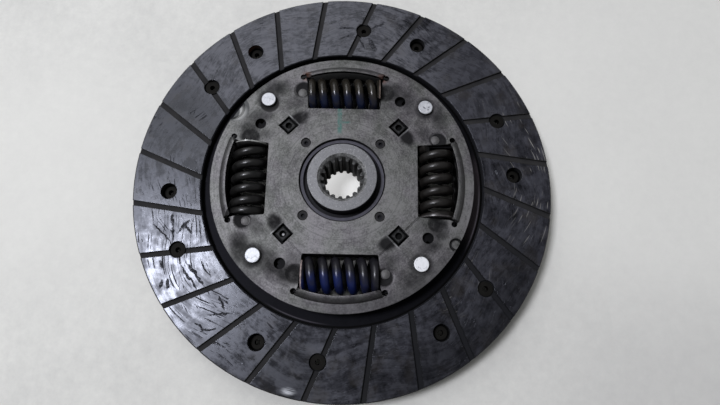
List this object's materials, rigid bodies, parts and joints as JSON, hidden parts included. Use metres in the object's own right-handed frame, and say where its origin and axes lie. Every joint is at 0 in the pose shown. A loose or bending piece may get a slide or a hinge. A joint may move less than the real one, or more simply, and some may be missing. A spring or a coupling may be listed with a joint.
{
  "type": "clutch disc",
  "caption": "Round clutch disc with slotted friction facings on both sides, a sprung torsion damper under pressed steel covers, and a splined hub.",
  "frame": {"origin": "centre of the hub's rear end face, on the axis of the disc", "axes": "+Z along the axis from the rear end to the front, +X and +Y through the middles of two spring windows"},
  "size_m": [0.2, 0.2, 0.025],
  "materials": {
    "friction_facing": "hard friction composite, worn smooth, mottled and lightly scratched",
    "spring_steel": "dark rolled spring steel",
    "rivet_metal": "dull plated",
    "cover_steel": "satin pressed sheet, smudged",
    "bush_polymer": "smooth moulded",
    "washer_steel": "dark",
    "friction_liner": "matte friction material",
    "hub_steel": "turned, bright",
    "flange_steel": "satin blanked plate",
    "pin_steel": "bright, hammered flat",
    "spring_blue": "thin dark blue paint over spring wire",
    "spring_black": "glossy black, tempered wire"
  },
  "bodies": {
    "disc": {"front_facing": "friction_facing", "rear_facing": "friction_facing", "cushion_disc": "spring_steel", "front_facing_rivets": "rivet_metal", "rear_facing_rivets": "rivet_metal", "front_cover_plate": "cover_steel", "rear_cover_plate": "cover_steel", "front_bush": "bush_polymer", "rear_bush": "bush_polymer", "thrust_washer": "washer_steel", "spring_washer": "spring_steel", "front_friction_washer": "friction_liner", "rear_friction_washer": "friction_liner", "stop_pin_1": "pin_steel", "stop_pin_2": "pin_steel", "stop_pin_3": "pin_steel", "stop_pin_4": "pin_steel"},
    "hub": {"splined_hub": "hub_steel", "hub_flange": "flange_steel"},
    "springs": {"torsion_spring_1": "spring_blue", "torsion_spring_2": "spring_black", "torsion_spring_3": "spring_blue", "torsion_spring_4": "spring_black"}
  },
  "joints": [
    {"name": "hub_twist", "type": "hinge", "parent": "disc", "child": "hub", "pos_m": [0, 0, 0.0125], "axis": [0, 0, 1], "range_deg": [-7, 7], "stiffness_Nm_per_rad": 1100},
    {"name": "spring_follow", "type": "hinge", "parent": "disc", "child": "springs", "pos_m": [0, 0, 0.0125], "axis": [0, 0, 1], "range_deg": [-3.5, 3.5], "deforming": ["torsion_spring_1", "torsion_spring_2", "torsion_spring_3", "torsion_spring_4"]}
  ],
  "couplings": [
    {"joint": "spring_follow", "follows": "hub_twist", "ratio": 0.5}
  ]
}
